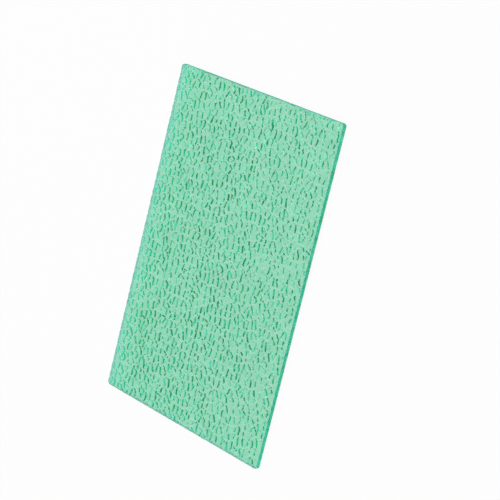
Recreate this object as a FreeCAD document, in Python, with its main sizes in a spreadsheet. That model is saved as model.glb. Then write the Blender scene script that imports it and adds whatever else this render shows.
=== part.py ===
"""A cut piece of solid polycarbonate sheet, smooth below and embossed above, lying flat.

Millimetres, +Z up. The origin is the middle of the smooth face that the sheet lies on, X runs across
the sheet and Y along its length. The top plane of the solid touches the tops of the embossed pebbles.
"""

import FreeCAD, Part
import os
import Sketcher

PARTS_FOLDER = "parts"
SAME_PLACE = 1e-6

doc = FreeCAD.newDocument("embossed_sheet_piece")

# Driving dimensions: the alias that the features read, its value, and what it measures
sizes = doc.addObject("Spreadsheet::Sheet", "sizes")
DIMENSIONS = (
    ("sheet_width", 100.0, "across the sheet, between its long cut edges"),
    ("sheet_length", 150.0, "along the sheet, between its short cut edges"),
    ("sheet_thickness", 2.1, "from the smooth face to the tops of the embossed pebbles"),
    ("corner_radius", 1.3, "corners eased after cutting, seen from above"),
    ("arris_width", 0.12, "arrises of the cut edges, scraped free of burr, in from each face"),
)
for row, (alias, millimetres, meaning) in enumerate(DIMENSIONS, start=1):
    sizes.set(f"A{row}", meaning)
    sizes.set(f"B{row}", str(millimetres))
    sizes.setAlias(f"B{row}", alias)
doc.recompute()


def origin_plane(body, role):
    """The body's own origin plane with this role, such as XY_Plane."""
    return next(plane for plane in body.Origin.OriginFeatures if plane.Role == role)


def centred_rectangle(sketch, width_alias, length_alias):
    """A closed rectangle about the sketch's origin, with its two sides read from the sheet of sizes."""
    half_width = sizes.get(width_alias) / 2
    half_length = sizes.get(length_alias) / 2
    corners = [
        FreeCAD.Vector(-half_width, -half_length, 0),
        FreeCAD.Vector(half_width, -half_length, 0),
        FreeCAD.Vector(half_width, half_length, 0),
        FreeCAD.Vector(-half_width, half_length, 0),
    ]
    sides = []
    for corner, next_corner in zip(corners, corners[1:] + corners[:1]):
        sides.append(sketch.addGeometry(Part.LineSegment(corner, next_corner)))
    foot, right, head, left = sides
    start, end, sketch_origin = 1, 2, (-1, 1)
    for side, next_side in zip(sides, sides[1:] + sides[:1]):
        sketch.addConstraint(Sketcher.Constraint("Coincident", side, end, next_side, start))
    for side in (foot, head):
        sketch.addConstraint(Sketcher.Constraint("Horizontal", side))
    for side in (right, left):
        sketch.addConstraint(Sketcher.Constraint("Vertical", side))
    sketch.addConstraint(Sketcher.Constraint("Symmetric", foot, start, head, start, *sketch_origin))
    for name, side, alias in (("width", foot, width_alias), ("length", right, length_alias)):
        span = Sketcher.Constraint("Distance", side, sizes.get(alias))
        sketch.renameConstraint(sketch.addConstraint(span), name)
        sketch.setExpression(f"Constraints.{name}", f"sizes.{alias}")


def edge_names(shape, wanted):
    """Names of the edges that a test accepts, as the dress-up features take them."""
    return [f"Edge{number}" for number, edge in enumerate(shape.Edges, start=1) if wanted(edge)]


def stands_upright(edge):
    """True for an edge that runs through the thickness."""
    return edge.BoundBox.XLength < SAME_PLACE and edge.BoundBox.YLength < SAME_PLACE


def lies_flat(edge):
    """True for an edge that bounds the smooth face or the embossed face."""
    return edge.BoundBox.ZLength < SAME_PLACE


def make_embossed_sheet():
    """One piece of sheet: its cut outline, raised to the thickness, with eased corners and arrises."""
    body = doc.addObject("PartDesign::Body", "embossed_sheet")
    body.Label = "embossed_sheet"

    outline = body.newObject("Sketcher::SketchObject", "cut_outline")
    outline.AttachmentSupport = [(origin_plane(body, "XY_Plane"), "")]
    outline.MapMode = "FlatFace"
    centred_rectangle(outline, "sheet_width", "sheet_length")

    plate = body.newObject("PartDesign::Pad", "plate")
    plate.Profile = outline
    plate.setExpression("Length", "sizes.sheet_thickness")
    doc.recompute()

    corners = body.newObject("PartDesign::Fillet", "eased_corners")
    corners.Base = (plate, edge_names(plate.Shape, stands_upright))
    corners.setExpression("Radius", "sizes.corner_radius")
    doc.recompute()

    arrises = body.newObject("PartDesign::Chamfer", "scraped_arrises")
    arrises.Base = (corners, edge_names(corners.Shape, lies_flat))
    arrises.setExpression("Size", "sizes.arris_width")
    body.Tip = arrises
    return body


sub_parts = [make_embossed_sheet()]
doc.recompute()

for feature in doc.Objects:
    if "Invalid" in feature.State or "Error" in feature.State:
        raise RuntimeError(f"{feature.Label} failed: {feature.State}")
for sub_part in sub_parts:
    if sub_part.Shape.isNull() or not sub_part.Shape.isValid():
        raise RuntimeError(f"{sub_part.Label} has no valid solid")

os.makedirs(PARTS_FOLDER, exist_ok=True)
for sub_part in sub_parts:
    sub_part.Shape.exportStep(os.path.join(PARTS_FOLDER, f"{sub_part.Label}.step"))
    box = sub_part.Shape.BoundBox
    print(f"{sub_part.Label}: {box.XLength:.3f} x {box.YLength:.3f} x {box.ZLength:.3f} mm, ", end="")
    print(f"{len(sub_part.Shape.Solids)} solid, {sub_part.Shape.Volume:.1f} cubic mm")
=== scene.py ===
import math

import bmesh
import bpy
from mathutils import Matrix, Vector


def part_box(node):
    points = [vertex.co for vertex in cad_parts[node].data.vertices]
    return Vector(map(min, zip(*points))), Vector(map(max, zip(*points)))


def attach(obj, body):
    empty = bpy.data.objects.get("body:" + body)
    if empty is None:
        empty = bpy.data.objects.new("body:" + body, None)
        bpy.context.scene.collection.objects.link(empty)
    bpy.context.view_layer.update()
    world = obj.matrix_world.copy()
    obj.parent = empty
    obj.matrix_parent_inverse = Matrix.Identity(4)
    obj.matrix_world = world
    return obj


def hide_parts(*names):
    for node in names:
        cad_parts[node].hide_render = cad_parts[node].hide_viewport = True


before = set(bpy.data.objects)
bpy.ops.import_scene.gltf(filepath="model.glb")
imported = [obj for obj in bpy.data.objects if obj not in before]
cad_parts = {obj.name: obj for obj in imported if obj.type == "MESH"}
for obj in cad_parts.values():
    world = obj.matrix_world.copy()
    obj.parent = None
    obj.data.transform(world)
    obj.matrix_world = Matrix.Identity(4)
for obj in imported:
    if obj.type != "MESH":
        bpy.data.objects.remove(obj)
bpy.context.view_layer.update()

# The sheet: one cut piece of solid, see-through green polycarbonate. It is extruded and then pressed
# between a smooth roll and an engraved one, which leaves a plain face below and pebbles above.
# Its edges are sawn, which leaves them matt, and scraped. The relief runs shallow beside them.
MM = 0.001
SHEET_LOW, SHEET_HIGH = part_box("embossed_sheet")
SHEET_WIDTH = SHEET_HIGH.x - SHEET_LOW.x
SHEET_LENGTH = SHEET_HIGH.y - SHEET_LOW.y
SHEET_TOP = SHEET_HIGH.z
CORNER_RADIUS = 1.3 * MM
ARRIS = 0.12 * MM

PEBBLE_WIDTH = 3.0 * MM
PEBBLE_LENGTH = 3.7 * MM
PEBBLE_SCATTER = 0.9
RELIEF_DEPTH = 0.65 * MM
HEIGHT_SPREAD = 0.25
GROOVE_SHARE = 0.02
FLANK_SHARE = 0.25
WANDER = 0.35
WANDER_PITCH = 0.6
RIM_SHARE = 0.3
RIM_FADE = 0.8 * MM

MESH_STEP = 0.17 * MM
FACE_TRIANGLES = 180000
CREASE_ANGLE = math.radians(28)


def sum_step(tree, operation, *values):
    """One step of arithmetic in a tree of nodes, on sockets and plain numbers."""
    step = tree.nodes.new("ShaderNodeMath")
    step.operation = operation
    for socket, value in zip(step.inputs, values):
        if isinstance(value, bpy.types.NodeSocket):
            tree.links.new(value, socket)
        else:
            socket.default_value = value
    return step.outputs[0]


def place_step(tree, operation, place, change):
    """One step of arithmetic on a place in a tree of nodes."""
    step = tree.nodes.new("ShaderNodeVectorMath")
    step.operation = operation
    tree.links.new(place, step.inputs[0])
    if isinstance(change, bpy.types.NodeSocket):
        tree.links.new(change, step.inputs[1])
    else:
        step.inputs[1].default_value = change
    return step.outputs[0]


def spread_step(tree, value, low, high, kind="LINEAR", start=0.0, end=1.0):
    """Spreads a value that runs from start to end over the range from low to high."""
    step = tree.nodes.new("ShaderNodeMapRange")
    step.interpolation_type = kind
    for name, number in (("From Min", start), ("From Max", end), ("To Min", low), ("To Max", high)):
        step.inputs[name].default_value = number
    tree.links.new(value, step.inputs["Value"])
    return step.outputs["Result"]


def noise_step(tree, place, scale, detail=2.0, dimensions="3D"):
    """Soft random patches at a place in a tree of nodes."""
    step = tree.nodes.new("ShaderNodeTexNoise")
    step.noise_dimensions = dimensions
    step.inputs["Scale"].default_value = scale
    step.inputs["Detail"].default_value = detail
    tree.links.new(place, step.inputs["Vector"])
    return step.outputs


def pebble_relief(tree, place):
    """Height of the pressed face at a place, from 0 in a groove to 1 on the tallest pebble."""
    flat = place_step(tree, "MULTIPLY", place, (1.0 / PEBBLE_WIDTH, 1.0 / PEBBLE_LENGTH, 0.0))
    wander = noise_step(tree, flat, 1.0 / WANDER_PITCH, 1.0, "2D")["Color"]
    push = place_step(tree, "SUBTRACT", wander, (0.5, 0.5, 0.5))
    wandering = place_step(tree, "MULTIPLY", push, (WANDER, WANDER, 0.0))
    pushed = place_step(tree, "ADD", flat, wandering)
    cells = {}
    for feature in ("DISTANCE_TO_EDGE", "F1"):
        cells[feature] = tree.nodes.new("ShaderNodeTexVoronoi")
        cells[feature].voronoi_dimensions = "2D"
        cells[feature].feature = feature
        cells[feature].inputs["Scale"].default_value = 1.0
        cells[feature].inputs["Randomness"].default_value = PEBBLE_SCATTER
        tree.links.new(pushed, cells[feature].inputs["Vector"])
    to_groove = cells["DISTANCE_TO_EDGE"].outputs["Distance"]
    wall = spread_step(tree, to_groove, 0.0, 1.0, "SMOOTHSTEP", GROOVE_SHARE, FLANK_SHARE)
    chance = tree.nodes.new("ShaderNodeSeparateXYZ")
    tree.links.new(cells["F1"].outputs["Color"], chance.inputs["Vector"])
    top = spread_step(tree, chance.outputs["X"], 1.0 - HEIGHT_SPREAD, 1.0)
    return sum_step(tree, "MULTIPLY", wall, top)


def shallow_rim(tree, place):
    """Share of the relief's depth at a place, which runs out toward the nearly straight rim."""
    across = tree.nodes.new("ShaderNodeSeparateXYZ")
    tree.links.new(place, across.inputs["Vector"])
    room = []
    for axis, half in (("X", SHEET_WIDTH / 2 - ARRIS), ("Y", SHEET_LENGTH / 2 - ARRIS)):
        room.append(sum_step(tree, "SUBTRACT", half, sum_step(tree, "ABSOLUTE", across.outputs[axis])))
    to_rim = sum_step(tree, "MINIMUM", *room)
    return spread_step(tree, to_rim, RIM_SHARE, 1.0, "SMOOTHSTEP", 0.0, RIM_FADE)


def engraved_roll():
    """The engraved roll as a tree of nodes, which presses a flat face down into its grooves."""
    tree = bpy.data.node_groups.new("engraved_roll", "GeometryNodeTree")
    tree.interface.new_socket("Face", in_out="INPUT", socket_type="NodeSocketGeometry")
    tree.interface.new_socket("Face", in_out="OUTPUT", socket_type="NodeSocketGeometry")
    face_in, face_out = tree.nodes.new("NodeGroupInput"), tree.nodes.new("NodeGroupOutput")
    press = tree.nodes.new("GeometryNodeSetPosition")
    place = tree.nodes.new("GeometryNodeInputPosition")
    drop = tree.nodes.new("ShaderNodeCombineXYZ")
    depth = spread_step(tree, pebble_relief(tree, place.outputs["Position"]), -RELIEF_DEPTH, 0.0)
    share = shallow_rim(tree, place.outputs["Position"])
    tree.links.new(sum_step(tree, "MULTIPLY", depth, share), drop.inputs["Z"])
    tree.links.new(face_in.outputs["Face"], press.inputs["Geometry"])
    tree.links.new(drop.outputs["Vector"], press.inputs["Offset"])
    tree.links.new(press.outputs["Geometry"], face_out.inputs["Face"])
    return tree


def embossed_face():
    """The pressed face alone: a fine grid with rounded corners, pressed, then thinned where it is flat."""
    bm = bmesh.new()
    width, length = SHEET_WIDTH - 2 * ARRIS, SHEET_LENGTH - 2 * ARRIS
    radius = CORNER_RADIUS - ARRIS
    columns, rows = round(width / MESH_STEP), round(length / MESH_STEP)
    bmesh.ops.create_grid(bm, x_segments=columns, y_segments=rows, size=0.5)
    bmesh.ops.scale(bm, vec=(width, length, 1.0), verts=bm.verts)
    bmesh.ops.translate(bm, vec=(0.0, 0.0, SHEET_TOP), verts=bm.verts)
    for vert in bm.verts:
        over_x = abs(vert.co.x) - (width / 2 - radius)
        over_y = abs(vert.co.y) - (length / 2 - radius)
        if over_x > 0 and over_y > 0:
            pull = 1.0 - max(over_x, over_y) / math.hypot(over_x, over_y)
            vert.co.x -= math.copysign(over_x * pull, vert.co.x)
            vert.co.y -= math.copysign(over_y * pull, vert.co.y)
    mesh = bpy.data.meshes.new("embossed_face")
    bm.to_mesh(mesh)
    bm.free()
    face = bpy.data.objects.new("embossed_face", mesh)
    bpy.context.scene.collection.objects.link(face)
    face.modifiers.new("roll", "NODES").node_group = engraved_roll()
    face.modifiers.new("thinner", "DECIMATE").ratio = FACE_TRIANGLES / (2 * columns * rows)
    depsgraph = bpy.context.evaluated_depsgraph_get()
    pressed = bpy.data.meshes.new_from_object(face.evaluated_get(depsgraph))
    bpy.data.objects.remove(face)
    return pressed


def outward(x, y, half_width, half_length, radius):
    """Unit vector that points out of a rounded rectangle's rim at a place on it."""
    over_x = max(abs(x) - (half_width - radius), 0.0) / radius
    over_y = max(abs(y) - (half_length - radius), 0.0) / radius
    return Vector((math.copysign(over_x, x), math.copysign(over_y, y), 0.0)).normalized()


def emboss_sheet():
    """The embossed face with its rim folded down over the cut edges to the smooth face."""
    bm = bmesh.new()
    bm.from_mesh(embossed_face())
    sawn = bm.faces.layers.float.new("sawn")
    outer = (SHEET_WIDTH / 2, SHEET_LENGTH / 2, CORNER_RADIUS)
    inner = tuple(size - ARRIS for size in outer)
    rim = [edge for edge in bm.edges if edge.is_boundary]
    for step in ("upper arris", "cut edge", "lower arris"):
        made = bmesh.ops.extrude_edge_only(bm, edges=rim)["geom"]
        rim = [part for part in made if isinstance(part, bmesh.types.BMEdge)]
        for wall in (part for part in made if isinstance(part, bmesh.types.BMFace)):
            wall[sawn] = 1.0
        for vert in {vert for edge in rim for vert in edge.verts}:
            if step == "upper arris":
                vert.co += ARRIS * outward(vert.co.x, vert.co.y, *inner)
                vert.co.z -= ARRIS
            elif step == "cut edge":
                vert.co.z = ARRIS
            else:
                vert.co -= ARRIS * outward(vert.co.x, vert.co.y, *outer)
                vert.co.z = 0.0
    bmesh.ops.edgeloop_fill(bm, edges=rim)
    bmesh.ops.recalc_face_normals(bm, faces=bm.faces)
    for face in bm.faces:
        face.smooth = True
    for edge in bm.edges:
        edge.smooth = edge.calc_face_angle() < CREASE_ANGLE

    mesh = bpy.data.meshes.new("embossed_sheet_dressed")
    bm.to_mesh(mesh)
    bm.free()
    sheet = bpy.data.objects.new("embossed_sheet_dressed", mesh)
    bpy.context.scene.collection.objects.link(sheet)
    return sheet


LIGHT_TINT = (0.70, 0.74, 0.565, 1.0)
DEEP_TINT = (0.65, 0.695, 0.52, 1.0)
# Painted depth: the sawn faces get a greener tint that stands in for light piped a long way through the
# cut edge.
SAWN_PAINTED_DEPTH_TINT = (0.48, 1.0, 1.0, 1.0)
DEPTH_COLOUR = (0.0, 0.93, 0.825, 1.0)
DEPTH_DENSITY = 450.0
REFRACTION = 1.585
NOISE_LOW, NOISE_HIGH = 0.3, 0.7
TINT_PATCHES = 70.0
SKIN_PATCHES = 260.0
SKIN_ROUGHNESS = (0.02, 0.07)
SAW_MARKS = 5500.0
SAW_MARK_RUN = (1.0, 1.0, 0.08)
SAW_MARK_DEPTH = 0.006 * MM
SAWN_ROUGHNESS = (0.7, 0.95)


def green_polycarbonate():
    """Clear green plastic, deeper the further light goes through it, and matt where it is sawn, where a
    deeper green is painted on to stand in for the light's long path through the cut edge.
    """
    material = bpy.data.materials.new("green_polycarbonate")
    material.use_nodes = True
    tree = material.node_tree
    nodes, links = tree.nodes, tree.links
    shader = nodes["Principled BSDF"]
    place = nodes.new("ShaderNodeTexCoord").outputs["Object"]
    sawn = nodes.new("ShaderNodeAttribute")
    sawn.attribute_name = "sawn"

    melt = nodes.new("ShaderNodeMix")
    melt.data_type = "RGBA"
    melt.inputs["A"].default_value = LIGHT_TINT
    melt.inputs["B"].default_value = DEEP_TINT
    patches = noise_step(tree, place, TINT_PATCHES)["Fac"]
    share = spread_step(tree, patches, 0.0, 1.0, start=NOISE_LOW, end=NOISE_HIGH)
    links.new(share, melt.inputs["Factor"])
    # The sawn faces take the painted greener tint, which stands in for light piped through the edge; their
    # mattness comes from roughness and bump.
    tint = nodes.new("ShaderNodeMix")
    tint.data_type = "RGBA"
    tint.inputs["B"].default_value = SAWN_PAINTED_DEPTH_TINT
    links.new(sawn.outputs["Fac"], tint.inputs["Factor"])
    links.new(melt.outputs["Result"], tint.inputs["A"])
    links.new(tint.outputs["Result"], shader.inputs["Base Color"])

    along_saw = place_step(tree, "MULTIPLY", place, SAW_MARK_RUN)
    saw_marks = noise_step(tree, along_saw, SAW_MARKS, 3.0)["Fac"]
    skin = noise_step(tree, place, SKIN_PATCHES, 3.0)["Fac"]
    gloss = spread_step(tree, skin, *SKIN_ROUGHNESS, start=NOISE_LOW, end=NOISE_HIGH)
    matt = spread_step(tree, saw_marks, *SAWN_ROUGHNESS, start=NOISE_LOW, end=NOISE_HIGH)
    rough = nodes.new("ShaderNodeMix")
    links.new(sawn.outputs["Fac"], rough.inputs["Factor"])
    links.new(gloss, rough.inputs["A"])
    links.new(matt, rough.inputs["B"])
    links.new(rough.outputs["Result"], shader.inputs["Roughness"])

    marks = nodes.new("ShaderNodeBump")
    marks.inputs["Distance"].default_value = SAW_MARK_DEPTH
    links.new(sum_step(tree, "MULTIPLY", saw_marks, sawn.outputs["Fac"]), marks.inputs["Height"])
    links.new(marks.outputs["Normal"], shader.inputs["Normal"])

    shader.inputs["Transmission Weight"].default_value = 1.0
    shader.inputs["IOR"].default_value = REFRACTION
    depth = nodes.new("ShaderNodeVolumeAbsorption")
    depth.inputs["Color"].default_value = DEPTH_COLOUR
    depth.inputs["Density"].default_value = DEPTH_DENSITY
    links.new(depth.outputs["Volume"], nodes["Material Output"].inputs["Volume"])
    return material


sheet = emboss_sheet()
sheet.data.materials.append(green_polycarbonate())
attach(sheet, "root")
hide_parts("embossed_sheet")

# The floor: a plain white studio table that the sheet lies on, smooth face down. What shows of it
# through the sheet is plain white, as the rest of the background is.
FLOOR_GAP = 0.05 * MM
FLOOR_SIZE = 4.0
FLOOR_COLOUR = (0.98, 0.98, 0.98, 1.0)
FLOOR_ROUGHNESS = 0.9
FLOOR_SHINE = 0.1
STRAIGHT_WHITE = 0.9


def studio_floor():
    """A wide plain plane just under the sheet."""
    bm = bmesh.new()
    bmesh.ops.create_grid(bm, x_segments=1, y_segments=1, size=FLOOR_SIZE / 2)
    bmesh.ops.translate(bm, vec=(0, 0, -FLOOR_GAP), verts=bm.verts)
    mesh = bpy.data.meshes.new("studio_floor")
    bm.to_mesh(mesh)
    bm.free()
    floor = bpy.data.objects.new("studio_floor", mesh)
    bpy.context.scene.collection.objects.link(floor)
    material = bpy.data.materials.new("floor_white")
    material.use_nodes = True
    tree = material.node_tree
    nodes, links = tree.nodes, tree.links
    shader = nodes["Principled BSDF"]
    shader.inputs["Base Color"].default_value = FLOOR_COLOUR
    shader.inputs["Roughness"].default_value = FLOOR_ROUGHNESS
    shader.inputs["Specular IOR Level"].default_value = FLOOR_SHINE
    ray = nodes.new("ShaderNodeLightPath")
    white = nodes.new("ShaderNodeEmission")
    seen = nodes.new("ShaderNodeMixShader")
    behind = sum_step(tree, "ADD", ray.outputs["Is Transmission Ray"], ray.outputs["Is Glossy Ray"])
    straight = sum_step(tree, "MULTIPLY", ray.outputs["Is Camera Ray"], STRAIGHT_WHITE)
    links.new(sum_step(tree, "ADD", straight, behind), seen.inputs["Fac"])
    links.new(shader.outputs["BSDF"], seen.inputs[1])
    links.new(white.outputs["Emission"], seen.inputs[2])
    links.new(seen.outputs["Shader"], nodes["Material Output"].inputs["Surface"])
    mesh.materials.append(material)
    return floor


studio_floor()

# The light: a white room that is brighter beyond the left long edge than on the camera's side, and
# one large soft lamp high beyond that edge, pointed at the middle of the sheet. Light is followed
# through twelve reflections, since the sheet traps some of it.
ROOM_FAR = 1.15
ROOM_NEAR = 0.35
LAMP_PLACE = (-0.5, 0.3, 1.3)
LAMP_SIZE = 0.8
LAMP_WATTS = 3.0
REFLECTIONS = 12

world = bpy.data.worlds.new("white_room")
bpy.context.scene.world = world
world.use_nodes = True
nodes, links = world.node_tree.nodes, world.node_tree.links
way = nodes.new("ShaderNodeTexCoord")
parts = nodes.new("ShaderNodeSeparateXYZ")
links.new(way.outputs["Generated"], parts.inputs["Vector"])
fall = nodes.new("ShaderNodeMapRange")
fall.inputs["From Min"].default_value = -1.0
fall.inputs["From Max"].default_value = 1.0
fall.inputs["To Min"].default_value = ROOM_FAR
fall.inputs["To Max"].default_value = ROOM_NEAR
links.new(parts.outputs["X"], fall.inputs["Value"])
nodes["Background"].inputs["Color"].default_value = (1.0, 1.0, 1.0, 1.0)
links.new(fall.outputs["Result"], nodes["Background"].inputs["Strength"])

bpy.context.scene.cycles.glossy_bounces = REFLECTIONS
lamp_data = bpy.data.lights.new("soft_lamp", "AREA")
lamp_data.size = LAMP_SIZE
lamp_data.energy = LAMP_WATTS
lamp = bpy.data.objects.new("soft_lamp", lamp_data)
lamp.location = LAMP_PLACE
lamp.rotation_euler = (-Vector(LAMP_PLACE)).to_track_quat("-Z", "Y").to_euler()
bpy.context.scene.collection.objects.link(lamp)

# The camera: it looks down on the sheet from beyond its right long edge, and is rolled so that the
# long edges run up the picture, which gives the photograph's view of the embossed face.
CAMERA_AIM = Vector((16.5, 10.7, 2.1)) * MM
CAMERA_DISTANCE = 774.0 * MM
CAMERA_AZIMUTH = 17.22
CAMERA_ELEVATION = 45.38
CAMERA_ROLL = 88.52
LENS = 132.47

bearing, lift = math.radians(CAMERA_AZIMUTH), math.radians(CAMERA_ELEVATION)
reach = math.cos(lift)
toward_camera = Vector((math.cos(bearing) * reach, math.sin(bearing) * reach, math.sin(lift)))
camera_data = bpy.data.cameras.new("camera")
camera_data.lens = LENS
camera_data.sensor_width = 36.0
camera_data.clip_start = 0.01
camera = bpy.data.objects.new("camera", camera_data)
level = toward_camera.to_track_quat("Z", "Y").to_matrix().to_4x4()
camera.matrix_world = (
    Matrix.Translation(CAMERA_AIM + CAMERA_DISTANCE * toward_camera)
    @ level
    @ Matrix.Rotation(math.radians(-CAMERA_ROLL), 4, "Z")
)
bpy.context.scene.collection.objects.link(camera)
bpy.context.scene.camera = camera
bpy.context.scene.view_settings.view_transform = "Standard"
